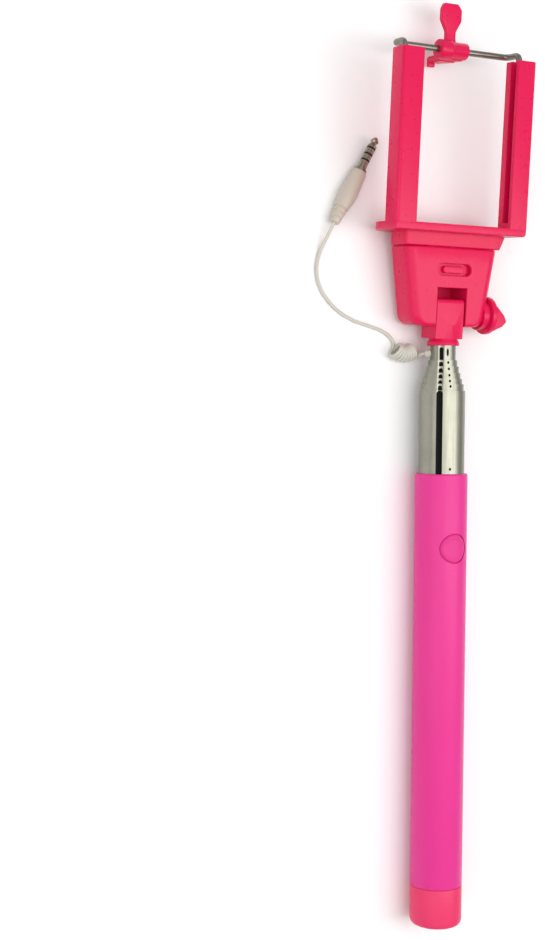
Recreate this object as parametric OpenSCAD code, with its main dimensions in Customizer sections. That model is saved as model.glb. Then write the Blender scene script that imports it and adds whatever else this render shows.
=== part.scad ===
// Telescopic selfie stick lying on its side on a flat surface: a moulded grip,
// seven nested tubes, a tilting head with a sprung phone clamp, and a short
// curly audio lead. Y runs from the butt to the head, X is across the stick
// and Z is up from the surface. All lengths are in millimetres.

/* [Grip] */
// Outer diameter of the grip sleeve
grip_d = 20; // [19.6:0.1:22]
// Distance from the butt to the seam between end cap and sleeve
cap_len = 15.5; // [12:0.5:20]
// Distance from the butt to the top edge of the sleeve
grip_top = 174; // [165:1:180]
// Diameter of the shutter button
button_d = 11; // [9:0.5:11.5]
// Distance from the butt to the middle of the shutter button
button_y = 146; // [120:1:155]
// How far the shutter button travels
button_travel = 0.25; // [0.1:0.05:0.25]

/* [Tubes] */
// Outer diameter of the largest tube
tube_d = 17.3; // [17:0.1:17.3]
// Radius lost from one tube to the next
tube_step = 0.633; // [0.6:0.01:0.65]
// Wall thickness of every tube
tube_wall = 0.4; // [0.35:0.01:0.4]
// How far each tube slides out of the one before it
tube_travel = 107; // [60:1:107]
// Depth of the pressed groove that keeps the tubes from turning
groove_depth = 0.5; // [0.3:0.1:0.5]

/* [Head] */
// Distance from the butt to the tilt hinge
hinge_y = 234.6; // [233:0.1:236]
// How far the head leans forward at rest, in degrees
head_lean = 4; // [0:1:10]
// Width of the hinge housing at its top
housing_w = 41; // [38:0.5:44]
// Thickness of the hinge housing, back to front
housing_t = 13; // [12.6:0.2:14]
// Inside width between the two uprights
window_w = 41.2; // [40.8:0.2:46]
// Width of one upright
upright_w = 8; // [7.6:0.2:9]
// Height of the uprights' tops above the hinge
upright_top = 95.2; // [90:0.5:100]
// How far the phone ledge reaches behind the hinge
ledge_back = 12.1; // [8:0.1:12.1]

/* [Clamp] */
// Diameter of the spring wire of the bow
wire_d = 2.4; // [2:0.1:2.4]
// Height of the bow's crossbar above the hinge at rest
bow_u = 98.2; // [98.2:0.1:100]
// Length of the bow's legs that stay in the uprights at rest
leg_len = 43; // [40:1:46]

/* [Lead] */
// Diameter of the audio lead
lead_d = 1.3; // [1.1:0.1:1.4]
// Outer diameter of the curly stretch
curl_d = 6.7; // [6:0.1:7]
// Diameter of the plug's contact pin
pin_d = 3.5; // [3.5:0.1:3.6]

/* [Hidden] */
$fn = 64;
y0 = -175.11;                      // puts the origin under the middle of the stick
axis_z = grip_d / 2;               // height of the pole's axis above the surface
grip_r = grip_d / 2;
groove_r = 2;                      // radius of the groove's round bottom
groove_dir = 230;                  // groove's place round the tube
tops = [0, 205.5, 208, 210, 212.2, 214.6, 217, 222.5];   // top ends of tubes 1 to 7
lip_h = 1.2;                       // height of the rolled-in lip at a tube's top
bush_h = 10;
function tr(n) = tube_d / 2 - (n - 1) * tube_step;        // outer radius of tube n
function tb(n) = n == 1 ? 26 : tops[n - 1] - lip_h - tube_travel - bush_h;  // lower end
collar_r = 6.1;
stem_r = 5.4;
tongue_r = 5.7;
tongue_w = 12;
slot_w = 13.1;
house_lo = -4.7;
house_hi = 24.8;
house_shape = [[house_lo, 12.6], [house_lo + 1.3, 15.3], [house_lo + 4, 16.6],
    [15, 19], [house_hi - 0.1, housing_w / 2]];     // height above the hinge, half width
house_p = -1;                      // middle of the housing's thickness, behind the hinge
ledge_u = 30.1;
ledge_t = 3;
front_p = 10.9;                    // front face of the uprights, in front of the hinge
rail_p = [2.7, 5.9];
leg_x = window_w / 2 + 4.7;        // distance of the bow's legs from the middle
leg_p = 4.3;
bar_p = -3.6;                      // the crossbar hangs behind the uprights
ur = ledge_u + ledge_t;
pink = "#ea4896";
red = "#ee3b6c";
steel = "#a8a69a";
dark = "#202022";

// places
module place() { translate([0, y0, axis_z]) children(); }
module along() { rotate([-90, 0, 0]) children(); }        // local z runs along the pole
module at(y) { place() translate([0, y, 0]) along() children(); }
module head() { place() translate([0, hinge_y, 0]) rotate([head_lean, 0, 0]) children(); }
module across(x) { translate([x, 0, 0]) rotate([0, 90, 0]) children(); }
module ring(ro, ri, h) { difference() { cylinder(r = ro, h = h); translate([0, 0, -1]) cylinder(r = ri, h = h + 2); } }

// round section with one pressed groove: r outer radius, e grows it outward
module section(r, rt, e) {
    difference() {
        circle(r = r);
        rotate(groove_dir) translate([rt - groove_depth + groove_r, 0]) circle(r = groove_r - e);
    }
}
module bore_of(n) { section(tr(n) - tube_wall, tr(n), -tube_wall); }

module tube(n) {
    color(steel) at(tb(n)) {
        difference() {
            linear_extrude(tops[n] - tb(n)) difference() { section(tr(n), tr(n), 0); bore_of(n); }
            if (n == 7) translate([0, 0, 219.6 - tb(7)]) gland_dir() cylinder(d = 3.06, h = 9);
        }
        if (n < 7) translate([0, 0, tops[n] - tb(n) - lip_h]) linear_extrude(lip_h) difference() {
            section(tr(n) - tube_wall / 2, tr(n), -tube_wall / 2);
            section(tr(n + 1) + 0.04, tr(n + 1), 0.04);
        }
    }
}
module bush(n) {
    color("white") at(tb(n)) linear_extrude(bush_h) difference() {
        section(tr(n - 1) - tube_wall - 0.05, tr(n - 1), -tube_wall - 0.05);
        section(tr(n), tr(n), 0);
    }
}
module tube_1() { tube(1); }
module tube_2() { tube(2); }
module tube_3() { tube(3); }
module tube_4() { tube(4); }
module tube_5() { tube(5); }
module tube_6() { tube(6); }
module tube_7() { tube(7); }
module bush_2() { bush(2); }
module bush_3() { bush(3); }
module bush_4() { bush(4); }
module bush_5() { bush(5); }
module bush_6() { bush(6); }
module bush_7() { bush(7); }

// ---- grip ----
module end_cap() {
    color("#f04f7b") at(0) rotate_extrude() polygon([[0, 0], [7.9, 0], [9.3, 0.7], [grip_r, 2.2],
        [grip_r, cap_len], [8.6, cap_len], [8.6, 25], [6.6, 25], [6.6, 4], [0, 4]]);
}
module grip_sleeve() {
    color(pink) difference() {
        at(cap_len) ring(grip_r, tube_d / 2 + 0.05, grip_top - cap_len);
        place() translate([0, button_y, 6]) cylinder(d = button_d + 0.5, h = 8);
        intersection() {
            at(button_y - 10) cylinder(r = 9.42, h = 20);
            place() translate([0, button_y, 6]) cylinder(d = button_d + 1.7, h = 8);
        }
        intersection() {
            at(button_y - 18) cylinder(r = 8.92, h = 34);
            place() translate([-3.8, button_y - 16.5, 6]) cube([7.6, 31, 5]);
        }
    }
}
module cap_ring(ri, ro, d) {
    intersection() {
        at(button_y - 10) ring(ro, ri, 20);
        place() translate([0, button_y, 6]) cylinder(d = d, h = 8);
    }
}
module shutter_button() {
    color("#e5458f") { cap_ring(9.3, grip_r - 0.06, button_d); cap_ring(9.1, 9.36, button_d + 1.2); }
}
module switch_dome() { color("silver") cap_ring(8.81, 9.08, 5); }
module switch_flex() {
    color("#c07a2a") intersection() {
        at(button_y - 16) ring(8.8, tube_d / 2 + 0.02, 30);
        place() translate([-3.5, button_y - 16, 6]) cube([7, 30, 5]);
    }
}
module inner_cable() { color("white") at(27) ring(3.6, 2.4, 181); }

// ---- top of the pole ----
module gland_dir() { rotate([90, 0, 150]) rotate([0, 90, 0]) children(); }
module gland_at() { place() translate([0, 219.6, 0]) rotate([0, -120, 0]) children(); }
module swivel_stem() {
    color("#ef5a8c") difference() {
        union() {
            at(209.5) linear_extrude(13.2) section(tr(7) - tube_wall - 0.03, tr(7), -tube_wall - 0.03);
            at(222.5) cylinder(r = collar_r, h = 1.4);
            at(223.9) cylinder(r1 = collar_r, r2 = stem_r, h = 0.8);
            at(224.5) cylinder(r = stem_r, h = hinge_y - 229.1);
            head() translate([-tongue_w / 2, -9.3, -stem_r + 0.35]) cube([tongue_w, 9.3, 2 * stem_r - 0.7]);
            head() across(-tongue_w / 2) cylinder(r = tongue_r, h = tongue_w);
            // square front corner of the tongue, eased so that it clears the slot
            head() intersection() {
                translate([-tongue_w / 2, 0, 0]) cube([tongue_w, 5.6, 5.4]);
                across(-tongue_w) cylinder(r = 7.1, h = 2 * tongue_w);
            }
        }
        at(208) cylinder(d = 2.4, h = 12.5);
        gland_at() cylinder(d = 3.06, h = 9);
        head() across(-tongue_w / 2 - 1) cylinder(d = 4.1, h = tongue_w + 2);
        head() across(-tongue_w / 2 - 0.1) rotate([0, 0, -10]) rotate_extrude(angle = 110)
            translate([4.25, 0]) square([1.1, 1.1]);
    }
}
module cable_gland() {
    color("#ededf0") difference() {
        gland_at() cylinder(d = 3, h = 6.8);
        gland_at() translate([0, 0, -1]) cylinder(d = lead_d + 0.06, h = 9);
        at(208) cylinder(d = 4.4, h = 12);
    }
}

// ---- hinge ----
module friction_washers() {
    color(dark) head() for (s = [-1, 1]) across(s > 0 ? 6.03 : -6.53) ring(4, 2.06, 0.5);
}
module hex_nut() {
    color("silver") head() across(-9.9) difference() {
        cylinder(d = 7.6, h = 3, $fn = 6);
        translate([0, 0, -1]) cylinder(d = 4.08, h = 5);
    }
}
module hinge_bolt() { color("silver") head() across(-11.8) cylinder(d = 4, h = 32.8); }
module wing_knob() {
    color(red) head() difference() {
        union() {
            across(18.05) cylinder(r = 7.2, h = 2.2);
            across(20.1) cylinder(r = 3.8, h = 3.4);
            // flat wing across the disc, in x and u, narrowing to a blunt tip
            translate([0, 0, -1.5]) linear_extrude(3) polygon([[19.6, -6.6], [19.6, 6.9], [20.6, 6.7], [27.2, 0],
                [28.3, -1.8], [28.1, -3], [26.8, -3.9], [20.9, -6.4]]);
        }
        across(16) cylinder(d = 4, h = 5.02);
    }
}
module housing_body() {
    difference() {
        union() {
            hull() for (s = [-1, 1], k = [-1, 1], q = house_shape)
                translate([s * (q[1] - 2.5), q[0], house_p + k * (housing_t / 2 - 2.5)]) along() cylinder(r = 2.5, h = 0.1, $fn = 32);
            across(14) cylinder(r = 4.6, h = 3.95);
        }
        // slot for the tongue, closed at the back
        translate([-slot_w / 2, house_lo - 1, -6]) cube([slot_w, 9.8 - house_lo + 1, 40]);
        translate([-10.5, 12.6, -3.7]) cube([21, 20, 7.4]);
        translate([-4.2, 16.6, 0]) pill(15, 4.4, 9);
        across(-12) cylinder(d = 4.1, h = 36);
        across(-10) cylinder(d = 7.8, h = 4, $fn = 6);
        for (s = [-1, 1]) translate([s * 14.4, 19, -9]) { cylinder(d = 2.06, h = 12.6); cylinder(d = 3.9, h = 2.8); }
    }
    // nib that runs in the tongue's arc and stops the head at rest and at a right angle
    across(-slot_w / 2 - 0.3) rotate([0, 0, -4]) translate([4.8, 0, 0]) cylinder(d = 0.8, h = 1.35, $fn = 32);
}
module pill(w, h, d) {
    translate([4.7, 0, 0]) linear_extrude(d) union() {
        square([w - h, h], center = true);
        for (s = [-1, 1]) translate([s * (w - h) / 2, 0]) circle(d = h);
    }
}
module housing_front() { color("#e83c69") head() intersection() { housing_body(); translate([-40, -40, 0]) cube([80, 80, 40]); } }
module housing_rear() { color("#e83c69") head() intersection() { housing_body(); translate([-40, -40, -40]) cube([80, 80, 39.95]); } }
module housing_screws() {
    color("silver") head() for (s = [-1, 1]) translate([s * 14.4, 19, 0]) {
        translate([0, 0, -7.4]) cylinder(d = 3.7, h = 1.15);
        translate([0, 0, -6.3]) cylinder(d = 2, h = 9.7);
    }
}

// ---- phone clamp ----
module ledge_outline() {
    R = 11;
    union() {
        for (s = [-1, 1]) mirror([s < 0 ? 1 : 0, 0, 0]) {
            w = window_w / 2 + up_w(s);
            q = s < 0 ? R + 1 : R;
            square([w - 1, front_p]);
            square([w, front_p - 1]);
            translate([w - 1, front_p - 1]) circle(r = 1);
            translate([0, -ledge_back]) square([w - q, ledge_back + 1]);
            translate([0, q - ledge_back]) square([w, ledge_back - q + 1]);
            translate([w - q, q - ledge_back]) circle(r = q);
        }
    }
}
// the left upright is a little wider than the right one
function up_w(s) = s < 0 ? upright_w + 1 : upright_w;
module upright(s) {
    mirror([s < 0 ? 1 : 0, 0, 0]) translate([window_w / 2, ur - 0.01, 0]) difference() {
        translate([0, 0, rail_p[0]]) cube([up_w(s), upright_top - ur, front_p - rail_p[0]]);
        translate([-1, 2, rail_p[1]]) cube([upright_w - 0.2, upright_top, 3.5]);
        translate([4.7, 1.5, leg_p]) along() cylinder(d = wire_d + 0.1, h = 80);
    }
}
module clamp_frame() {
    color(red) head() {
        // ledge: outline drawn in x and p, extruded along u
        translate([0, ledge_u + ledge_t, 0]) rotate([90, 0, 0]) linear_extrude(ledge_t) ledge_outline();
        // neck block and the tab that snaps into the housing
        translate([-21.4, house_hi + 0.15, -6.4]) cube([42.8, ledge_u - house_hi, 11.4]);
        translate([-10.3, 13, -3.5]) cube([20.6, 13, 7]);
        translate([-4.2, 16.6, 3]) pill(9.4, 2.8, 2);
        // gusset under the right end of the ledge
        translate([21.2, 24.2, -1]) cube([2.4, 6.3, 3.4]);
        upright(-1);
        upright(1);
    }
}
module bow_springs() {
    color("silver") head() for (s = [-1, 1])
        translate([s * leg_x, 36, leg_p]) along() ring(1.15, 0.75, bow_u - leg_len - 3.4 - 36);
}
module wire_bow() {
    k = 2.6;
    a = bow_u - k;
    color("#8e8e90") head() {
        for (s = [-1, 1]) mirror([s < 0 ? 1 : 0, 0, 0]) {
            translate([leg_x, a - leg_len + 0.2, leg_p]) along() cylinder(d = wire_d, h = leg_len - 0.2);
            // bend back over the upright
            translate([leg_x, a, leg_p - k]) rotate([0, -90, 0]) rotate_extrude(angle = 90) translate([k, 0]) circle(d = wire_d);
            translate([leg_x, bow_u, bar_p + k]) cylinder(d = wire_d, h = leg_p - bar_p - 2 * k);
            // bend inward to the crossbar
            translate([leg_x - k, bow_u, bar_p + k]) rotate([90, 0, 0]) rotate([0, 0, -90]) rotate_extrude(angle = 90) translate([k, 0]) circle(d = wire_d);
        }
        translate([0, bow_u, bar_p]) across(-leg_x + k) cylinder(d = wire_d, h = 2 * (leg_x - k));
    }
}
// plate drawn in x and p, from height u down by t
module flat(u, t) { translate([0, u, 0]) rotate([90, 0, 0]) linear_extrude(t) children(); }
module clamp_hook() {
    color(red) head() translate([0, bow_u, bar_p]) difference() {
        union() {
            across(-6.2) cylinder(r = 3.1, h = 12.4);
            across(-6.2) cylinder(r = 3.6, h = 5.4);
            // arm over the phone's edge and the lip at its end
            flat(-1.4, 2.2) polygon([[-4.4, 0], [5, 0], [-1.2, -10.6], [-4.4, -10.6]]);
            translate([-4.4, -5.2, -10.6]) cube([3.2, 2.4, 1.6]);
            // thumb paddle
            translate([0, 0, -3.1]) linear_extrude(2.4) polygon([[-2.8, 1], [-2.1, 4.6], [-2.1, 6.5], [-4, 11], [-4.4, 14],
                [-4, 16.2], [-3.3, 17.3], [2.6, 17.3], [3.9, 16.2], [4.4, 13.6], [4, 11], [2.1, 6.5], [2.1, 4.6], [2.8, 1]]);
        }
        across(-9) cylinder(d = wire_d + 0.1, h = 18);
        flat(-2.8, 1.2) polygon([[-3.7, -2.2], [3, -2.2], [-0.3, -8], [-3.7, -8]]);
    }
}
module hook_pad() {
    color(dark) head() translate([0, bow_u, bar_p]) flat(-2.85, 1.1) polygon([[-3.65, -2.25], [2.93, -2.25], [-0.33, -7.95], [-3.65, -7.95]]);
}

// ---- lead ----
// joins rings of points into one closed tube
module sweep(pts, r, sides) {
    n = len(pts);
    function dirat(i) = let(a = pts[max(i - 1, 0)], b = pts[min(i + 1, n - 1)]) (b - a) / norm(b - a);
    v = [for (i = [0:n - 1]) let(t = dirat(i), s = cross(t, [0, 0, 1]) / norm(cross(t, [0, 0, 1])), w = cross(s, t))
        for (k = [0:sides - 1]) pts[i] + r * (cos(360 * k / sides) * s + sin(360 * k / sides) * w)];
    polyhedron(points = v, faces = concat(
        [[for (k = [0:sides - 1]) k]],
        [for (i = [0:n - 2], k = [0:sides - 1]) [i * sides + k, (i + 1) * sides + k, (i + 1) * sides + (k + 1) % sides, i * sides + (k + 1) % sides]],
        [[for (k = [sides - 1:-1:0]) (n - 1) * sides + k]]));
}
// a smooth line through hand-placed points
function smooth(p, m) = [for (i = [0:len(p) - 2], j = [0:m - 1])
    let(t = j / m, a = p[max(i - 1, 0)], b = p[i], c = p[i + 1], d = p[min(i + 2, len(p) - 1)])
    0.5 * (2 * b + (c - a) * t + (2 * a - 5 * b + 4 * c - d) * t * t + (3 * b - a - 3 * c + d) * t * t * t)];
curl_route = [[-5.9, 219.4, 3.4], [-9, 218.3, 3.4], [-12.4, 218.1, 3.4], [-15.8, 219.2, 3.4], [-18.6, 221.4, 3.4]];
lead_route = [[-18.4, 221.8, 0.7], [-19.2, 224.2, 0.7], [-21, 226.8, 0.7], [-23.8, 228.6, 0.7], [-28, 229.8, 0.7],
    [-34.5, 231.6, 0.7], [-41, 235, 0.7], [-45.8, 239.4, 0.7], [-48.9, 244.5, 0.7], [-49.9, 249.5, 0.7],
    [-49.3, 254.4, 0.8], [-48, 258.4, 1.6], [-46.4, 262.4, 2.8], [-44.6, 266.4, 3.5]];
plug_at = [-44.3, 267, 3.5];
plug_turn = -28.6;
module plug_place() { translate([0, y0, 0]) translate(plug_at) rotate([0, 0, plug_turn]) along() children(); }
module cord_curl() { color("#e4ddd6") translate([0, y0, 0]) sweep(concat(smooth(curl_route, 3), [curl_route[4]]), curl_d / 2, 12); }
module cord_lead() { color("#d8d2cb") translate([0, y0, 0]) sweep(concat(smooth(lead_route, 3), [lead_route[13]]), lead_d / 2, 8); }
module plug_body() {
    color("#d9d0c8") plug_place() difference() {
        rotate_extrude() polygon([[0, 0], [1.7, 0], [2, 0.5], [2.45, 5.5], [3.2, 9], [3.45, 12], [3.4, 15],
            [3.1, 19], [2.9, 21.9], [2.5, 22.3], [0, 22.3]]);
        translate([0, 0, 15]) cylinder(d = 2.8, h = 9);
        translate([0, 0, -1]) cylinder(d = lead_d + 0.1, h = 1.2);
    }
}
module plug_pin() {
    color("#c9c4b4") plug_place() rotate_extrude() polygon([[0, 15.1], [1.38, 15.1], [1.38, 22.35], [2.5, 22.35], [2.5, 23.1],
        [pin_d / 2, 23.1], [pin_d / 2, 26.6], [1.3, 26.6], [1.3, 27.3], [pin_d / 2, 27.3], [pin_d / 2, 29.2], [1.3, 29.2],
        [1.3, 29.9], [pin_d / 2, 29.9], [pin_d / 2, 31.8], [1.3, 31.8], [1.3, 32.5], [pin_d / 2, 32.5], [pin_d / 2, 33.4],
        [1.15, 34.2], [1.15, 34.7], [1.6, 35.4], [1, 36.5], [0.5, 37], [0, 37]]);
}
module plug_rings() {
    color(dark) plug_place() for (s = [26.6, 29.2, 31.8]) translate([0, 0, s]) ring(pin_d / 2, 1.3, 0.7);
}

end_cap();
grip_sleeve();
shutter_button();
switch_dome();
switch_flex();
inner_cable();
tube_1();
tube_2();
tube_3();
tube_4();
tube_5();
tube_6();
tube_7();
bush_2();
bush_3();
bush_4();
bush_5();
bush_6();
bush_7();
swivel_stem();
cable_gland();
friction_washers();
hex_nut();
hinge_bolt();
wing_knob();
housing_front();
housing_rear();
housing_screws();
clamp_frame();
bow_springs();
wire_bow();
clamp_hook();
hook_pad();
cord_curl();
cord_lead();
plug_body();
plug_pin();
plug_rings();
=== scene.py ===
# Selfie stick: looks, lead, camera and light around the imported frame. Lengths in mm inside the helpers.
import math
import bpy, bmesh
from mathutils import Matrix, Vector


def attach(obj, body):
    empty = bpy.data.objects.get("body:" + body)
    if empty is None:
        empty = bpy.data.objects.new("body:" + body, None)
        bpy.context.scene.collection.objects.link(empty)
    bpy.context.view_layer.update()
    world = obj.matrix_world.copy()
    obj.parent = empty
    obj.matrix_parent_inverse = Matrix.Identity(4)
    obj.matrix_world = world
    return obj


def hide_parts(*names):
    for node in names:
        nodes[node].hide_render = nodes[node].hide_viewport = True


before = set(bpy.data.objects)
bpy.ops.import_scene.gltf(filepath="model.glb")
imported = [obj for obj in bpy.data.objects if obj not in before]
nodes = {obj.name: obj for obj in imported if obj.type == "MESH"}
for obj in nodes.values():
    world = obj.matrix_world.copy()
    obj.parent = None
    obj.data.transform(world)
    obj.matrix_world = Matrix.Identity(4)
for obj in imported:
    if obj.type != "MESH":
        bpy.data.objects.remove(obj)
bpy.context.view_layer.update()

scene = bpy.context.scene
MM = 0.001
Y0, AXIS_Z, HINGE_Y, LEAN = -175.11, 10.0, 234.6, math.radians(4)
POLE = Matrix.Translation((0, Y0, AXIS_Z))                       # pole frame: y from the butt, z from the axis
HEAD = POLE @ Matrix.Translation((0, HINGE_Y, 0)) @ Matrix.Rotation(LEAN, 4, "X")   # head frame: x, u, p


# ------------------------------------------------------------------ camera
def camera():
    yaw, pitch, roll = CAM["yaw"], CAM["pitch"], CAM["roll"]
    back = Vector((-math.sin(yaw), 0, math.cos(yaw)))
    right = Vector((math.cos(yaw), 0, math.sin(yaw)))
    up = Vector((0, 1, 0))
    m = Matrix.Rotation(pitch, 3, right)
    back, up = m @ back, m @ up
    m = Matrix.Rotation(roll, 3, back)
    right, up = m @ right, m @ up
    data = bpy.data.cameras.new("camera")
    data.sensor_width = 36.0
    data.lens = CAM["focal_px"] / 940 * 36.0
    data.clip_start, data.clip_end = 0.01, 20
    cam = bpy.data.objects.new("camera", data)
    scene.collection.objects.link(cam)
    x, y, z = CAM["place"]
    rows = [(right[i], up[i], back[i], v * MM) for i, v in enumerate((x, y + Y0, z))]
    cam.matrix_world = Matrix(rows + [(0, 0, 0, 1)])
    scene.camera = cam


CAM = dict(focal_px=1475.0, place=(-310.234, 200.466, 483.564), yaw=0.4659, pitch=-0.045763, roll=0.008375)
camera()


# ------------------------------------------------------------------ mesh helpers (mm in, object in metres out)
def link(name, mesh):
    o = bpy.data.objects.new(name, mesh)
    scene.collection.objects.link(o)
    return o


def from_bm(name, bm):
    bmesh.ops.recalc_face_normals(bm, faces=bm.faces)
    mesh = bpy.data.meshes.new(name)
    bm.to_mesh(mesh)
    bm.free()
    return link(name, mesh)


def prism(pts, lo, hi, axes="xyz"):
    """Closed prism: pts in the first two of axes, extruded along the third from lo to hi."""
    order = ["xyz".index(c) for c in axes]
    bm = bmesh.new()
    rings = []
    for h in (lo, hi):
        ring = []
        for a, b in pts:
            v = [0, 0, 0]
            v[order[0]], v[order[1]], v[order[2]] = a, b, h
            ring.append(bm.verts.new(v))
        rings.append(ring)
    n = len(pts)
    bm.faces.new(rings[0])
    bm.faces.new(rings[1])
    for i in range(n):
        bm.faces.new((rings[0][i], rings[0][(i + 1) % n], rings[1][(i + 1) % n], rings[1][i]))
    return from_bm("part", bm)


def block(lo, hi):
    return prism([(lo[0], lo[1]), (hi[0], lo[1]), (hi[0], hi[1]), (lo[0], hi[1])], lo[2], hi[2])


def lathe(profile, n=96, m=None):
    """profile: (radius, height) pairs; turned about +Z, closed at radius 0."""
    bm = bmesh.new()
    rows = []
    for r, h in profile:
        if r < 1e-6:
            rows.append([bm.verts.new((0, 0, h))])
        else:
            rows.append([bm.verts.new((r * math.cos(2 * math.pi * k / n), r * math.sin(2 * math.pi * k / n), h)) for k in range(n)])
    loop = len(rows) if len(rows[0]) > 1 and len(rows[-1]) > 1 else len(rows) - 1
    for i in range(loop):
        a, b = rows[i], rows[(i + 1) % len(rows)]
        for k in range(n):
            j = (k + 1) % n
            if len(a) == 1:
                bm.faces.new((a[0], b[k], b[j]))
            elif len(b) == 1:
                bm.faces.new((a[k], a[j], b[0]))
            else:
                bm.faces.new((a[k], a[j], b[j], b[k]))
    o = from_bm("part", bm)
    if m is not None:
        o.data.transform(m)
    return o


def cyl(r, lo, hi, m=None, n=64):
    return lathe([(0, lo), (r, lo), (r, hi), (0, hi)], n, m)


def bake(o):
    """Applies o's modifiers."""
    deps = bpy.context.evaluated_depsgraph_get()
    mesh = bpy.data.meshes.new_from_object(o.evaluated_get(deps))
    o.modifiers.clear()
    old = o.data
    o.data = mesh
    bpy.data.meshes.remove(old)
    return o


def bevel(o, width, segments=3, angle=30, profile=0.5):
    m = o.modifiers.new("b", "BEVEL")
    m.width, m.segments, m.limit_method, m.angle_limit = width, segments, "ANGLE", math.radians(angle)
    m.profile, m.use_clamp_overlap = profile, True
    m.miter_outer = "MITER_ARC"
    return bake(o)


def boolean(a, b, op):
    m = a.modifiers.new("x", "BOOLEAN")
    m.operation, m.object = op, b
    try:
        m.solver = "MANIFOLD"
    except TypeError:
        m.solver = "EXACT"
    bake(a)
    mesh = b.data
    bpy.data.objects.remove(b)
    bpy.data.meshes.remove(mesh)
    return a


def join(first, *others):
    for o in others:
        boolean(first, o, "UNION")
    return first


def cut(first, *others):
    for o in others:
        boolean(first, o, "DIFFERENCE")
    return first


def move(o, m):
    o.data.transform(m)
    return o


def along_x(x=0.0, y=0.0, z=0.0):
    """Turns a lathe's +Z to +X, from x."""
    return Matrix.Translation((x, y, z)) @ Matrix.Rotation(math.pi / 2, 4, "Y")


def along_y(y=0.0, x=0.0, z=0.0):
    return Matrix.Translation((x, y, z)) @ Matrix.Rotation(-math.pi / 2, 4, "X")


def arc(cx, cy, r, a0, a1, n=8):
    return [(cx + r * math.cos(math.radians(a0 + (a1 - a0) * i / n)), cy + r * math.sin(math.radians(a0 + (a1 - a0) * i / n))) for i in range(n + 1)]


def rounded(pts, radii, n=6):
    """Polygon with its corners rounded; counter-clockwise or clockwise."""
    out, k = [], len(pts)
    for i in range(k):
        p, a, b = Vector(pts[i]), Vector(pts[i - 1]), Vector(pts[(i + 1) % k])
        r = radii[i] if isinstance(radii, (list, tuple)) else radii
        if r <= 0:
            out.append(tuple(p))
            continue
        da, db = (a - p).normalized(), (b - p).normalized()
        half = da.angle(db) / 2
        d = r / math.tan(half)
        centre = p + (da + db).normalized() * (r / math.sin(half))
        s, e = p + da * d, p + db * d
        vs, ve = s - centre, e - centre
        turn = vs.angle_signed(ve) if hasattr(vs, "angle_signed") else 0
        for j in range(n + 1):
            c, q = math.cos(-turn * j / n), math.sin(-turn * j / n)
            out.append((centre.x + vs.x * c - vs.y * q, centre.y + vs.x * q + vs.y * c))
    return out


def offset(pts, d):
    k = len(pts)
    area = sum(pts[i - 1][0] * pts[i][1] - pts[i][0] * pts[i - 1][1] for i in range(k))
    s = 1 if area > 0 else -1
    out = []
    for i in range(k):
        p, a, b = Vector(pts[i]), Vector(pts[i - 1]), Vector(pts[(i + 1) % k])
        e1, e2 = (p - a).normalized(), (b - p).normalized()
        n1, n2 = Vector((e1.y, -e1.x)) * s, Vector((e2.y, -e2.x)) * s
        n = (n1 + n2).normalized()
        q = p + n * (d / max(0.35, n.dot(n1)))
        out.append((q.x, q.y))
    return out


def loft(rings, axes="xyz"):
    """Closed solid through outlines of equal length: [(pts, height), ...]."""
    order = ["xyz".index(c) for c in axes]
    bm = bmesh.new()
    rows = []
    for pts, h in rings:
        row = []
        for a, b in pts:
            v = [0, 0, 0]
            v[order[0]], v[order[1]], v[order[2]] = a, b, h
            row.append(bm.verts.new(v))
        rows.append(row)
    n = len(rows[0])
    bm.faces.new(rows[0])
    bm.faces.new(rows[-1])
    for a, b in zip(rows, rows[1:]):
        for i in range(n):
            bm.faces.new((a[i], a[(i + 1) % n], b[(i + 1) % n], b[i]))
    return from_bm("part", bm)


def softprism(pts, lo, hi, r_lo, r_hi, axes="xyz", steps=4):
    """Prism with rounded rims: r_lo and r_hi are the rim radii."""
    rings = []
    for j in range(steps + 1):
        a = math.pi / 2 * j / steps
        if r_lo > 0 or j == steps:
            rings.append((offset(pts, -r_lo * (1 - math.sin(a))), lo + r_lo * (1 - math.cos(a))))
    for j in range(steps + 1):
        a = math.pi / 2 * j / steps
        if r_hi > 0 or j == 0:
            rings.append((offset(pts, -r_hi * (1 - math.cos(a))), hi - r_hi * (1 - math.sin(a))))
    return loft(rings, axes)


def flared(pts, lo, surface, flare, axes="xyz", beyond=2.0):
    """Cutting tool: straight up to the surface, then opened by flare so that the hole's rim is chamfered."""
    wide = offset(pts, flare)
    return loft([(pts, lo), (pts, surface - flare), (wide, surface + 0.01), (wide, surface + beyond)], axes)


def rrect(x0, x1, y0, y1, r, n=6, q=None):
    """Rounded rectangle: r at all corners, or q at the y0 ones."""
    q = r if q is None else q
    out = []
    for cx, cy, k, a in ((x1 - r, y1 - r, r, 0), (x0 + r, y1 - r, r, 90), (x0 + q, y0 + q, q, 180), (x1 - q, y0 + q, q, 270)):
        out += arc(cx, cy, k, a, a + 90, n)
    return out


def pill_pts(cx, cy, w, h, n=10):
    r = h / 2
    return arc(cx + w / 2 - r, cy, r, -90, 90, n) + arc(cx - w / 2 + r, cy, r, 90, 270, n)


def finish_piece(o, name, frame_matrix, body, mat, nodes_replaced=(), smooth=35):
    o.data.transform(Matrix.Scale(MM, 4) @ frame_matrix)
    o.name = o.data.name = name
    bm = bmesh.new()
    bm.from_mesh(o.data)
    bmesh.ops.remove_doubles(bm, verts=bm.verts, dist=2e-6)
    bmesh.ops.dissolve_degenerate(bm, edges=bm.edges, dist=1e-6)
    bm.to_mesh(o.data)
    bm.free()
    shade(o, smooth)
    o.data.materials.clear()
    o.data.materials.append(mat)
    if nodes_replaced:
        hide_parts(*nodes_replaced)
    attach(o, body)
    return o


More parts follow.
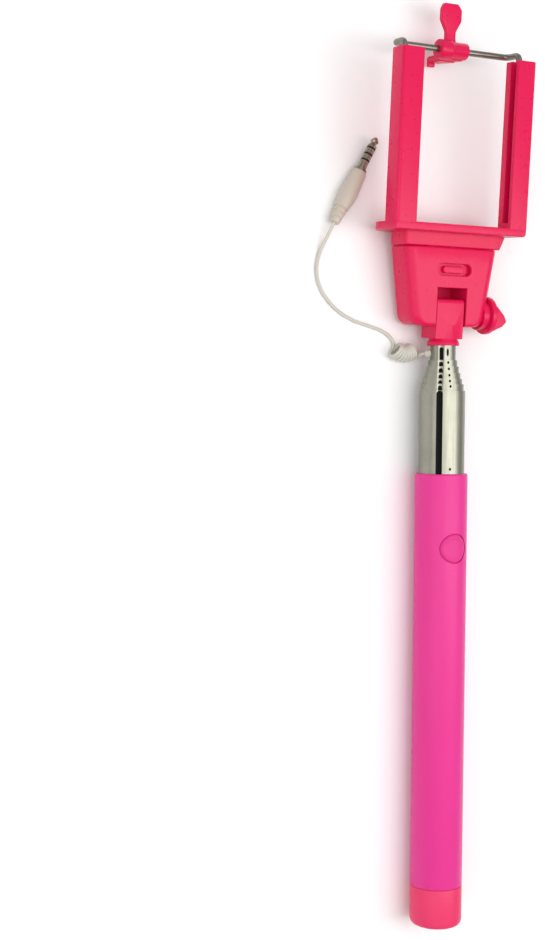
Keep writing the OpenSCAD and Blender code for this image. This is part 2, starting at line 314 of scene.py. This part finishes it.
def shade(o, angle):
    mesh = o.data
    mesh.polygons.foreach_set("use_smooth", [True] * len(mesh.polygons))
    bm = bmesh.new()
    bm.from_mesh(mesh)
    lim = math.radians(angle)
    for e in bm.edges:
        e.smooth = not (len(e.link_faces) != 2 or e.calc_face_angle(0) > lim)
    bm.to_mesh(mesh)
    bm.free()


# ------------------------------------------------------------------ materials
def lin(rgb):
    return tuple((c / 12.92 if c <= 0.04045 else ((c + 0.055) / 1.055) ** 2.4) for c in (v / 255 for v in rgb)) + (1.0,)


class Mat:
    def __init__(self, name):
        self.m = bpy.data.materials.new(name)
        self.m.use_nodes = True
        self.t = self.m.node_tree
        self.b = self.t.nodes["Principled BSDF"]
        self.co = self.t.nodes.new("ShaderNodeTexCoord")

    def node(self, kind, **values):
        n = self.t.nodes.new(kind)
        for k, v in values.items():
            if hasattr(n, k):
                setattr(n, k, v)
            else:
                n.inputs[k.replace("_", " ")].default_value = v
        return n

    def wire(self, a, b):
        self.t.links.new(a, b)

    def noise(self, scale, detail=4, rough=0.6, stretch=None):
        n = self.node("ShaderNodeTexNoise")
        n.inputs["Scale"].default_value = scale
        n.inputs["Detail"].default_value = detail
        n.inputs["Roughness"].default_value = rough
        src = self.co.outputs["Object"]
        if stretch:
            mp = self.node("ShaderNodeMapping")
            mp.inputs["Scale"].default_value = stretch
            self.wire(src, mp.inputs["Vector"])
            src = mp.outputs["Vector"]
        self.wire(src, n.inputs["Vector"])
        return n.outputs["Fac"]

    def ramp(self, fac, stops):
        r = self.node("ShaderNodeValToRGB")
        e = r.color_ramp.elements
        e[0].position, e[0].color = stops[0]
        e[1].position, e[1].color = stops[-1]
        for pos, col in stops[1:-1]:
            x = e.new(pos)
            x.color = col
        self.wire(fac, r.inputs["Fac"])
        return r.outputs["Color"]

    def remap(self, fac, lo, hi, a=0.3, b=0.7):
        r = self.node("ShaderNodeMapRange")
        r.inputs["From Min"].default_value, r.inputs["From Max"].default_value = a, b
        r.inputs["To Min"].default_value, r.inputs["To Max"].default_value = lo, hi
        self.wire(fac, r.inputs["Value"])
        return r.outputs["Result"]

    def bump(self, height, strength, distance):
        b = self.node("ShaderNodeBump")
        b.inputs["Strength"].default_value = strength
        b.inputs["Distance"].default_value = distance
        self.wire(height, b.inputs["Height"])
        self.wire(b.outputs["Normal"], self.b.inputs["Normal"])
        return b

    def set(self, **values):
        for k, v in values.items():
            self.b.inputs[k.replace("_", " ")].default_value = v


def plastic(name, colour, rough=0.3, grain=0.03, soft=0.12, coat=0.25, spread=0.05, tint=None):
    """Moulded, dyed plastic: faint flow marks in the colour, fine moulding grain and handling marks in the gloss."""
    m = Mat(name)
    c = lin(colour)
    dark = tuple(v * (1 - spread) for v in c[:3]) + (1,)
    light = tuple(min(1, v * (1 + spread)) for v in c[:3]) + (1,)
    flow = m.noise(55, 3, 0.5, (1, 0.35, 1))
    m.wire(m.ramp(flow, [(0.3, dark), (0.5, c), (0.7, light)]), m.b.inputs["Base Color"])
    m.wire(m.remap(m.noise(420, 5, 0.65), rough - 0.05, rough + 0.07), m.b.inputs["Roughness"])
    fine = m.noise(5200, 2, 0.5)
    m.bump(fine, grain, 0.00004)
    m.b.inputs["Specular IOR Level"].default_value = 0.24
    m.set(IOR=1.49, Coat_Weight=coat, Coat_Roughness=0.18, Subsurface_Weight=soft, Subsurface_Scale=0.0022)
    m.b.inputs["Subsurface Radius"].default_value = tint or (1.0, 0.25, 0.2)
    return m.m


TOPS = [0, 205.5, 208, 210, 212.2, 214.6, 217, 222.5]              # top ends of tubes 1 to 7


def metal(name, colour, rough, streak=(1, 0.02, 1), amount=0.08, tube=0):
    m = Mat(name)
    c = lin(colour)
    lines = m.noise(2600, 3, 0.6, streak)
    patch = m.noise(90, 4, 0.6)
    dark = tuple(v * 0.86 for v in c[:3]) + (1,)
    colour_out = m.ramp(patch, [(0.25, dark), (0.6, c), (0.8, tuple(min(1, v * 1.06) for v in c[:3]) + (1,))])
    rough_out = m.remap(lines, rough - amount, rough + amount)
    if tube:
        black = tube_marks(m, tube)
        mix = m.node("ShaderNodeMix", data_type="RGBA")
        m.wire(black, mix.inputs["Factor"])
        m.wire(colour_out, mix.inputs[6])
        mix.inputs[7].default_value = (0.006, 0.006, 0.006, 1)
        colour_out = mix.outputs[2]
        inv = m.node("ShaderNodeMapRange")
        inv.inputs["To Min"].default_value, inv.inputs["To Max"].default_value = 1, 0.0
        m.wire(black, inv.inputs["Value"])
        m.wire(inv.outputs["Result"], m.b.inputs["Metallic"])
        spec = m.node("ShaderNodeMapRange")
        spec.inputs["To Min"].default_value, spec.inputs["To Max"].default_value = 0.5, 0.04
        m.wire(black, spec.inputs["Value"])
        m.wire(spec.outputs["Result"], m.b.inputs["Specular IOR Level"])
    else:
        m.set(Metallic=1.0)
    m.wire(colour_out, m.b.inputs["Base Color"])
    m.wire(rough_out, m.b.inputs["Roughness"])
    m.bump(lines, 0.05, 0.00002)
    return m.m


def tube_marks(m, n):
    """Blackened parts of tube n: its pressed groove, 40 degrees from the front, and one stake mark on the front."""
    a = math.radians(40)
    rel = m.node("ShaderNodeVectorMath", operation="SUBTRACT")
    rel.inputs[1].default_value = (0, 0, AXIS_Z * MM)
    m.wire(m.co.outputs["Object"], rel.inputs[0])

    def dot(v):
        d = m.node("ShaderNodeVectorMath", operation="DOT_PRODUCT")
        d.inputs[1].default_value = v
        m.wire(rel.outputs["Vector"], d.inputs[0])
        return d.outputs["Value"]

    def math_node(op, x, y):
        k = m.node("ShaderNodeMath", operation=op)
        for i, v in enumerate((x, y)):
            if isinstance(v, (int, float)):
                k.inputs[i].default_value = v
            else:
                m.wire(v, k.inputs[i])
        return k.outputs["Value"]

    out = dot((-math.sin(a), 0, math.cos(a)))
    across = dot((math.cos(a), 0, math.sin(a)))
    end = (TOPS[n] - (1.3 if n == 1 else 1.45) + Y0) * MM
    past = math_node("MAXIMUM", math_node("SUBTRACT", rel_y(m, rel), end), 0.0)
    reach = math_node("SQRT", math_node("ADD", math_node("MULTIPLY", across, across), math_node("MULTIPLY", past, past)), 0.0)
    groove = math_node("MULTIPLY", soft_below(m, reach, 0.00112 if n == 1 else 0.00068, 0.0002), math_node("GREATER_THAN", out, 0.0))
    stake = 175.9 if n == 1 else TOPS[n] - (2.6 if n == 7 else 0.95)
    long = 1.5 if n == 7 else 0.55
    lean = math.radians(11)
    dx = math_node("MULTIPLY", dot((math.cos(lean), 0, math.sin(lean))), 1 / 0.00048)
    dy = math_node("MULTIPLY", math_node("SUBTRACT", rel_y(m, rel), (stake + Y0) * MM), 1000 / long)
    ring = math_node("SQRT", math_node("ADD", math_node("MULTIPLY", dx, dx), math_node("MULTIPLY", dy, dy)), 0.0)
    mark = math_node("MULTIPLY", soft_below(m, ring, 0.85, 0.25), math_node("GREATER_THAN", dot((0, 0, 1)), 0.0))
    return math_node("MAXIMUM", groove, mark)


def rel_y(m, rel):
    sep = m.node("ShaderNodeSeparateXYZ")
    m.wire(rel.outputs["Vector"], sep.inputs[0])
    return sep.outputs["Y"]


def soft_below(m, value, edge, width):
    r = m.node("ShaderNodeMapRange")
    r.inputs["From Min"].default_value, r.inputs["From Max"].default_value = edge, edge + width
    r.inputs["To Min"].default_value, r.inputs["To Max"].default_value = 1, 0
    m.wire(value, r.inputs["Value"])
    return r.outputs["Result"]


GRIP = plastic("grip_plastic", (227, 56, 144), 0.36, 0.05, 0.1, 0.03, 0.02)
BUTTON = plastic("button_plastic", (223, 51, 138), 0.4, 0.05, 0.1, 0.02, 0.02)
CAP = plastic("cap_plastic", (230, 58, 106), 0.34, 0.04, 0.1, 0.03, 0.02)
RED = plastic("head_plastic", (222, 19, 80), 0.3, 0.0, 0.0, 0.05, 0.015)
STEM = plastic("stem_plastic", (222, 19, 80), 0.3, 0.0, 0.0, 0.05, 0.015)
WIRE = metal("wire_steel", (138, 134, 124), 0.34, (0.05, 1, 1))
ZINC = metal("zinc_steel", (172, 172, 174), 0.36, (1, 1, 1))
CONTACT = metal("contact_metal", (160, 152, 136), 0.3, (1, 1, 1), 0.05)
WHITE = plastic("white_plastic", (226, 226, 222), 0.45, 0.05, 0.1, 0.0, 0.02, (1, 0.9, 0.8))
BLACK = plastic("black_plastic", (24, 24, 26), 0.45, 0.05, 0.0, 0.0, 0.1)
FLEX = plastic("copper_flex", (176, 120, 50), 0.35, 0.02, 0.0, 0.2, 0.15)
CORD = plastic("cord_white", (202, 199, 187), 0.45, 0.08, 0.08, 0.0, 0.03, (1, 0.9, 0.8))
PLUG = plastic("plug_white", (196, 186, 172), 0.38, 0.05, 0.08, 0.05, 0.03, (1, 0.85, 0.7))

CAD_LOOKS = {"switch_dome": ZINC, "switch_flex": FLEX, "inner_cable": WHITE, "cable_gland": CORD, "friction_washers": BLACK,
             "hex_nut": ZINC, "hinge_bolt": ZINC, "housing_screws": ZINC, "bow_springs": ZINC, "wire_bow": WIRE,
             "hook_pad": RED, "plug_pin": CONTACT, "plug_rings": BLACK,
             "end_cap": CAP, "grip_sleeve": GRIP, "shutter_button": BUTTON, "swivel_stem": STEM, "wing_knob": RED,
             "housing_front": RED, "housing_rear": RED, "clamp_frame": RED, "clamp_hook": RED, "plug_body": PLUG,
             "cord_curl": CORD, "cord_lead": CORD}
CAD_LOOKS.update({f"tube_{i}": metal(f"tube_metal_{i}", (158, 157, 143), 0.38, tube=i) for i in range(1, 8)})
CAD_LOOKS.update({f"bush_{i}": WHITE for i in range(2, 8)})
for name, mat in CAD_LOOKS.items():
    o = nodes[name]
    if not o.material_slots:
        o.data.materials.append(mat)
    for s in o.material_slots:
        s.link = "OBJECT"
        s.material = mat


# ------------------------------------------------------------------ the lead
def catmull(p, m):
    out = []
    for i in range(len(p) - 1):
        a, b, c, d = p[max(i - 1, 0)], p[i], p[i + 1], p[min(i + 2, len(p) - 1)]
        for j in range(m):
            t = j / m
            out.append(tuple(0.5 * (2 * b[k] + (c[k] - a[k]) * t + (2 * a[k] - 5 * b[k] + 4 * c[k] - d[k]) * t * t
                                    + (3 * b[k] - a[k] - 3 * c[k] + d[k]) * t ** 3) for k in range(3)))
    return out + [tuple(p[-1])]


CURL = [(-8.0, 222.1, 3.43), (-9.9, 220.6, 3.43), (-12.4, 219.5, 3.43), (-15.1, 219.7, 3.43), (-17.8, 221.3, 3.43)]
LEAD = [(-18.4, 221.8, 0.7), (-19.2, 224.2, 0.7), (-21, 226.8, 0.7), (-23.8, 228.6, 0.7), (-28, 229.8, 0.7),
        (-34.5, 231.6, 0.7), (-41, 235, 0.7), (-45.8, 239.4, 0.7), (-48.9, 244.5, 0.7), (-49.9, 249.5, 0.7),
        (-49.3, 254.4, 0.8), (-48, 258.4, 1.6), (-46.4, 262.4, 2.8), (-44.6, 266.4, 3.5)]
LEAD_R, COIL_R, TURNS = 0.65, 2.76, 8.262
EXIT_DIR = Vector((-0.866, 0, -0.5))


def hermite(p0, t0, p1, t1, n):
    out = []
    for i in range(n):
        u = i / (n - 1)
        out.append((2 * u ** 3 - 3 * u ** 2 + 1) * p0 + (u ** 3 - 2 * u ** 2 + u) * t0 + (-2 * u ** 3 + 3 * u ** 2) * p1 + (u ** 3 - u ** 2) * t1)
    return out


def lead_points():
    axis = [Vector(p) for p in catmull(CURL, 40)]
    length = [0.0]
    for a, b in zip(axis, axis[1:]):
        length.append(length[-1] + (b - a).length)
    total = length[-1]

    def on_axis(s):
        s = min(max(s, 0.0), total)
        k = max(j for j in range(len(length) - 1) if length[j] <= s)
        return axis[k].lerp(axis[k + 1], (s - length[k]) / (length[k + 1] - length[k]))

    # wound stretch: starts beside the gland, ends at the coil's underside
    first, lo, hi = math.radians(94.085), 1.9434, total - 0.8199
    n = int(TURNS * 28)
    coil = []
    for i in range(n + 1):
        s = lo + (hi - lo) * i / n
        t = (on_axis(s + 0.05) - on_axis(s - 0.05)).normalized()
        phi = first + 2 * math.pi * TURNS * i / n
        coil.append(on_axis(s) + COIL_R * (math.cos(phi) * Vector((0, 0, 1)) - math.sin(phi) * t.cross(Vector((0, 0, 1)))))
    # straight out of the gland, then an easy turn into the coil
    gland = Vector((0, 219.6, 10))
    start = [gland + EXIT_DIR * 5.5, gland + EXIT_DIR * 6.2]
    start += hermite(gland + EXIT_DIR * 6.9, EXIT_DIR * 4.5141, coil[0], (coil[1] - coil[0]).normalized() * 4.0786, 24)[:-1]
    # out of the coil, along the surface, to the plug
    tail = [Vector(p) for p in catmull(LEAD[3:] + [(-43.6, 268.3, 3.5)], 8)]
    away = (tail[1] - tail[0]).normalized()
    ease = hermite(coil[-1], (coil[-1] - coil[-2]).normalized() * 12.62, tail[0], away * 10.957, 30)[1:-1]
    return start + coil + ease + tail


pts = [Vector((p[0], p[1] + Y0, p[2])) * MM for p in lead_points()]
curve = bpy.data.curves.new("audio_lead", "CURVE")
curve.dimensions = "3D"
curve.bevel_depth, curve.bevel_resolution, curve.use_fill_caps = LEAD_R * MM, 4, True
spline = curve.splines.new("POLY")
spline.points.add(len(pts) - 1)
for q, p in zip(spline.points, pts):
    q.co = (*p, 1)
spline.use_smooth = True
lead = bpy.data.objects.new("audio_lead", curve)
scene.collection.objects.link(lead)
curve.materials.append(CORD)
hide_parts("cord_curl", "cord_lead")
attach(lead, "section_7")

# ------------------------------------------------------------------ pieces
# hinge housing: front and rear shells (x, u, p)
def housing(front):
    def half_width(u):
        base = 16.0 + (20.5 - 16.0) * (u + 4.7) / 29.5
        d = 4.0 - (u + 4.7)
        return base - (4.0 - math.sqrt(max(0.0, 4.0 ** 2 - d * d)) if d > 0 else 0.0)
    rows = []
    for u, inset in [(-4.7, 1.3), (-4.6, 0.82), (-4.35, 0.4), (-3.9, 0.1), (-3.4, 0), (-2.8, 0), (-2.0, 0), (-1.1, 0), (0, 0), (6, 0), (12, 0), (18, 0), (24.0, 0), (24.35, 0.1), (24.6, 0.3), (24.8, 0.6)]:
        hw = half_width(u) - (inset if u > 20 else 0)
        rows.append((rrect(-hw, hw, -7.5 + inset, 5.5 - inset, 4.4 - min(inset, 0.9), 8, 1.5 - min(inset, 0.9)), u))
    body = loft(rows, "xzy")
    join(body, lathe([(0, 15), (5.6, 15), (5.6, 17.7), (5.4, 17.95), (0, 17.95)], 64, along_x()))
    cut(body,
        flared([(-6.55, -8), (6.55, -8), (6.55, 9.8), (-6.55, 9.8)], -6, 5.5, 0.22),
        prism(rrect(-10.5, 10.5, 12.6, 30, 0.4), -3.7, 3.7),
        flared(pill_pts(0.5, 16.6, 15, 4.4), 1, 5.5, 0.25),
        cyl(2.05, -12, 24, along_x()),
        lathe([(0, 0), (3.9, 0), (3.9, 4), (0, 4)], 6, along_x(-10)))
    for s in (-1, 1):
        cut(body, cyl(1.03, -9, 3.6, Matrix.Translation((s * 14.4, 19, 0))), cyl(1.95, -9, -6.2, Matrix.Translation((s * 14.4, 19, 0))))
    gap = 0.035
    if front:
        cut(body, block((-40, -40, -40), (40, 60, gap)))
    else:
        cut(body, block((-40, -40, -gap), (40, 60, 40)))
        nib = cyl(0.4, -0.3, 1.05, Matrix.Translation((0, -0.335, -4.788)) @ along_x(-6.55), 32)
        join(body, nib)
    return body


finish_piece(housing(True), "hinge_housing_front", HEAD, "head", RED, ["housing_front"])
finish_piece(housing(False), "hinge_housing_rear", HEAD, "head", RED, ["housing_rear"])


# phone clamp frame: ledge, neck, tab and the two channelled uprights
def clamp():
    w, v = 28.6, 29.6                     # right and left reach; the left upright is a little wider
    outline = arc(w - 1, 9.9, 1, 0, 90, 6) + arc(-v + 1, 9.9, 1, 90, 180, 6) + arc(-v + 12, -12.1 + 12, 12, 180, 270, 18) + arc(w - 11, -12.1 + 11, 11, 270, 360, 18)
    body = softprism(outline, 30.1, 33.1, 0.45, 0.35, "xzy", 4)
    # the ends are rounded off below
    boolean(body, prism(rounded([(-v - 0.2, 30.0), (w + 0.005, 30.0), (w + 0.005, 34), (-v - 0.2, 34)], [1.5, 2.2, 0, 0], 7), -20, 20), "INTERSECT")
    neck = softprism(rrect(-21.4, 21.4, -6.4, 5.0, 1.3), 24.97, 30.4, 0.5, 0.0, "xzy", 3)
    join(body, neck, prism(rrect(-10.3, 10.3, -3.5, 3.5, 0.4), 13, 26, "xzy"),
         softprism(pill_pts(0.5, 16.6, 9.4, 2.8), 3, 5.0, 0, 0.45))
    join(body, softprism(rounded([(20.6, 24.98), (22.2, 24.98), (23.4, 27.4), (24.6, 30.4), (20.6, 30.4)], [0.1, 0.5, 0.8, 0.1, 0.1], 3), -1.2, 2.6, 0.25, 0.25))
    for s in (-1, 1):
        wide = w if s > 0 else v
        ring = rounded([(20.6, 2.7), (wide, 2.7), (wide, 10.9), (20.6, 10.9)], [0.35, 0.7, 0.9 if s > 0 else 1.5, 0.5], 6)
        up = softprism(ring, 32.8, 95.2, 0, 0.4, "xzy", 3)
        slot = rounded([(18, 5.9), (27.4, 5.9), (27.4, 9.4), (18, 9.4)], [0, 0.35, 0.35, 0], 4)
        cut(up, prism(slot, 35.1, 99, "xzy"), lathe([(0, 34.6), (1.25, 34.6), (1.25, 94.9), (1.6, 95.25), (1.6, 99), (0, 99)], 40, along_y(0, 25.3, 4.3)))
        if s < 0:
            move(up, Matrix.Scale(-1, 4, (1, 0, 0)))
            up.data.flip_normals()
        join(body, up)
    return body


finish_piece(clamp(), "phone_clamp_frame", HEAD, "head", RED, ["clamp_frame"])


# hook that turns on the crossbar: barrel, arm, lip, thumb paddle (frame at the crossbar)
def hook():
    barrel = lathe([(1.25, -6.2), (3.3, -6.2), (3.55, -6.0), (3.6, -5.7), (3.6, -1.3), (3.5, -0.95), (3.2, -0.7), (3.1, -0.5), (3.1, 5.8), (3.0, 6.05), (2.8, 6.2), (1.25, 6.2)], 72, along_x())
    arm = softprism(rounded([(-4.4, 0), (-4.4, -10.6), (-1.2, -10.6), (5, 0)], [0, 1.1, 0.9, 0], 5), -3.6, -1.4, 0.45, 0.45, "xzy", 4)
    lip = softprism(rrect(-4.4, -1.2, -10.6, -9.0, 0.6), -5.2, -2.0, 0.45, 0, "xzy", 3)
    blade = rounded([(-2.9, 0.6), (-2.1, 4.6), (-2.1, 7.0), (-4.4, 11.2), (-4.4, 15.2), (-3.4, 17.3), (2.7, 17.3), (4.4, 15.2), (4.4, 11.2), (2.1, 7.0), (2.1, 4.6), (2.9, 0.6)],
                    [0, 1.4, 2.2, 2.2, 1.6, 0.9, 0.9, 1.6, 2.2, 2.2, 1.4, 0], 5)
    paddle = softprism(blade, -3.1, -0.7, 0.6, 0.6, "xyz", 4)
    pocket = prism([(-3.7, -2.2), (3, -2.2), (-0.3, -8), (-3.7, -8)], -4, -2.8, "xzy")
    join(barrel, arm, lip, paddle)
    cut(barrel, cyl(1.25, -9, 9, along_x()), pocket)
    return barrel


finish_piece(hook(), "phone_hook", HEAD @ Matrix.Translation((0, 98.2, -3.6)), "hook", RED, ["clamp_hook"])


# tilt knob: disc with one flat wing
def knob():
    disc = lathe([(0, 18.05), (6.8, 18.05), (7.1, 18.17), (7.2, 18.45), (7.2, 19.8), (7.08, 20.1), (6.8, 20.25), (3.5, 20.3), (3.2, 20.5), (3.1, 21.2), (2.8, 21.4), (0, 21.4)], 96, along_x())
    ring = rounded([(19.2, -6.6), (20.9, -6.5), (26.6, -4.0), (28.4, -2.2), (27.3, 0.2), (20.6, 6.9), (19.2, 6.9)], [0, 0.5, 1.0, 0.8, 1.0, 0.5, 0], 6)
    wing = softprism(ring, -1.5, 1.5, 0.55, 0.55, "xyz", 4)
    join(disc, wing)
    cut(disc, cyl(2.0, 16, 21.04, along_x()))
    return disc


finish_piece(knob(), "tilt_knob", HEAD, "knob", RED, ["wing_knob"])


# stem: plug in the smallest tube, collar, round neck and the flat tongue of the hinge
def stem():
    body = lathe([(0, 209.5), (4.2, 209.5), (4.2, 222.5), (5.9, 222.5), (6.1, 222.7), (6.1, 223.7), (5.95, 224.0), (5.45, 224.6), (5.4, 225.0), (5.4, 230.0), (0, 230.0)], 96,
                 Matrix.Rotation(-math.pi / 2, 4, "X"))
    tilt = Matrix.Translation((0, HINGE_Y, 0)) @ Matrix.Rotation(LEAN, 4, "X")
    flat = [(-9.3, -5.05)] + arc(0, 0, 5.7, -114, 0, 20) + arc(3.9, 3.7, 1.7, 0, 90, 8) + [(-9.3, 5.3)]
    tongue = softprism(flat, -6.4, 5.8, 0.4, 0.4, "yzx", 4)
    # arc track for the stop nib, in the left cheek
    turn = [math.radians(a) for a in range(-10, 101, 5)]
    track = [(5.35 * math.sin(a), -5.35 * math.cos(a)) for a in turn] + [(4.25 * math.sin(a), -4.25 * math.cos(a)) for a in reversed(turn)]
    slot = prism(track, -7, -5.0, "yzx")
    cut(tongue, slot)
    move(tongue, tilt)
    join(body, tongue)
    cut(body, cyl(2.05, -8, 8, tilt @ along_x()), cyl(1.2, 208, 220.5, Matrix.Rotation(-math.pi / 2, 4, "X")),
        cyl(1.53, 0, 9, Matrix.Translation((0, 219.6, 0)) @ Matrix.Rotation(math.radians(-120), 4, "Y")))
    return body


finish_piece(stem(), "swivel_neck", POLE, "section_7", STEM, ["swivel_stem"])


# grip: sleeve with eased rims and a round hole for the button
def sleeve():
    body = lathe([(8.7, 15.55), (9.75, 15.55), (9.93, 15.62), (10, 15.8), (10, 173.3), (9.93, 173.65), (9.75, 173.88), (9.45, 174), (8.95, 174), (8.7, 173.8)], 160,
                 Matrix.Rotation(-math.pi / 2, 4, "X"))
    hole = loft([([(p[0], p[1] + 146) for p in arc(0, 0, 5.75, 0, 354, 59)], 5), ([(p[0], p[1] + 146) for p in arc(0, 0, 5.75, 0, 354, 59)], 16)])
    cut(body, hole)
    return body


finish_piece(sleeve(), "grip_skin", POLE, "grip", GRIP, ["grip_sleeve"])


def button():
    """Round cap that follows the sleeve's curve, with a raised ring."""
    bm = bmesh.new()
    n, rows = 72, []
    prof = [(0.0, -0.1), (1.0, -0.1), (2.0, -0.09), (3.0, -0.05), (3.6, 0.0), (3.9, 0.1), (4.15, 0.17), (4.45, 0.19), (4.75, 0.16), (4.95, 0.08), (5.1, 0.0), (5.3, -0.08), (5.42, -0.2), (5.5, -0.42)]
    centre = bm.verts.new((0, 0, 9.94 + prof[0][1]))
    for r, h in prof[1:]:
        rows.append([bm.verts.new((r * math.cos(2 * math.pi * k / n), r * math.sin(2 * math.pi * k / n),
                                   math.sqrt((9.94 + h) ** 2 - (r * math.cos(2 * math.pi * k / n)) ** 2))) for k in range(n)])
    for r, q in ((5.5, 9.36), (6.0, 9.36), (6.0, 9.1), (5.0, 9.1), (4.0, 9.1), (3.0, 9.1), (2.0, 9.1), (1.0, 9.1), (0.0, 9.1)):
        if r:
            rows.append([bm.verts.new((r * math.cos(2 * math.pi * k / n), r * math.sin(2 * math.pi * k / n), math.sqrt(q * q - (r * math.cos(2 * math.pi * k / n)) ** 2))) for k in range(n)])
    base = bm.verts.new((0, 0, 9.1))
    for k in range(n):
        j = (k + 1) % n
        bm.faces.new((centre, rows[0][k], rows[0][j]))
        bm.faces.new((base, rows[-1][j], rows[-1][k]))
        for a, b in zip(rows, rows[1:]):
            bm.faces.new((a[k], b[k], b[j], a[j]))
    o = from_bm("part", bm)
    return move(o, Matrix.Translation((0, 146, 0)))


finish_piece(button(), "shutter_key", POLE, "button", BUTTON, ["shutter_button"], smooth=50)

finish_piece(lathe([(0, 0), (7.6, 0), (8.5, 0.12), (9.25, 0.5), (9.72, 1.1), (9.95, 1.9), (10, 2.6), (10, 15.1), (9.93, 15.35), (9.75, 15.45), (8.6, 15.48),
                    (8.6, 25), (6.6, 25), (6.6, 4), (0, 4)], 160, Matrix.Rotation(-math.pi / 2, 4, "X")),
             "grip_end_cap", POLE, "grip", CAP, ["end_cap"])


# plug body: tapering strain relief with three ribs, then the waisted handle
PLUG_PLACE = Matrix.Translation((-44.3, 267 + Y0, 3.5)) @ Matrix.Rotation(math.radians(-28.6), 4, "Z") @ Matrix.Rotation(-math.pi / 2, 4, "X")
relief = [(0.0, 0.9), (0.72, 0.9), (0.72, 0.0), (1.5, 0.0), (1.85, 0.25), (2.0, 0.7), (2.12, 1.7), (1.98, 1.85), (1.98, 2.25), (2.2, 2.4), (2.32, 3.6), (2.16, 3.75), (2.16, 4.15), (2.42, 4.3), (2.55, 5.6), (2.38, 5.75),
          (2.38, 6.15), (2.75, 6.3), (2.98, 7.6), (3.18, 9.0), (3.36, 10.6), (3.45, 12.0), (3.45, 13.4), (3.38, 15.2), (3.24, 17.2), (3.08, 19.2), (2.98, 20.8), (2.9, 21.7), (2.72, 22.15), (2.4, 22.3), (1.42, 22.3), (1.42, 15.0), (0.0, 15.0)]
finish_piece(lathe(relief, 72), "plug_handle", PLUG_PLACE, "section_7", PLUG, ["plug_body"])


# ------------------------------------------------------------------ floor and light
def stage():
    mesh = bpy.data.meshes.new("floor")
    s = 3.0
    mesh.from_pydata([(-s, -s, 0), (s, -s, 0), (s, s, 0), (-s, s, 0)], [], [(0, 1, 2, 3)])
    floor = link("floor", mesh)
    m = Mat("floor_white")
    m.set(Base_Color=(0.93, 0.93, 0.93, 1), Roughness=0.9)
    m.b.inputs["Specular IOR Level"].default_value = 0.1
    mesh.materials.append(m.m)
    world = bpy.data.worlds.new("studio")
    scene.world = world
    world.use_nodes = True
    t = world.node_tree
    bg = t.nodes["Background"]
    co, sep, ramp = t.nodes.new("ShaderNodeTexCoord"), t.nodes.new("ShaderNodeSeparateXYZ"), t.nodes.new("ShaderNodeValToRGB")
    t.links.new(co.outputs["Generated"], sep.inputs[0])
    t.links.new(sep.outputs["Z"], ramp.inputs["Fac"])
    t.links.new(ramp.outputs["Color"], bg.inputs["Color"])
    e = ramp.color_ramp.elements
    e[0].position, e[0].color = 0.0, (0.42, 0.42, 0.42, 1)
    e[1].position, e[1].color = 0.9, (1, 1, 1, 1)
    bg.inputs["Strength"].default_value = 0.6

    def area(name, place, target, size, power):
        d = bpy.data.lights.new(name, "AREA")
        d.shape, d.size, d.size_y, d.energy = "RECTANGLE", size[0], size[1], power
        o = bpy.data.objects.new(name, d)
        scene.collection.objects.link(o)
        o.location = place
        o.rotation_euler = (Vector(target) - Vector(place)).to_track_quat("-Z", "Y").to_euler()
        return o
    area("key", (0.25, -0.05, 0.95), (0, -0.02, 0), (0.5, 1.3), 6.3)
    area("fill", (-0.95, -0.1, 0.75), (0, 0, 0), (0.9, 1.4), 5.0)
    area("top", (0.1, 1.0, 0.7), (0, 0.1, 0), (1.0, 0.6), 0.9)
    scene.view_settings.view_transform = "Standard"
    scene.view_settings.look = "None"


stage()
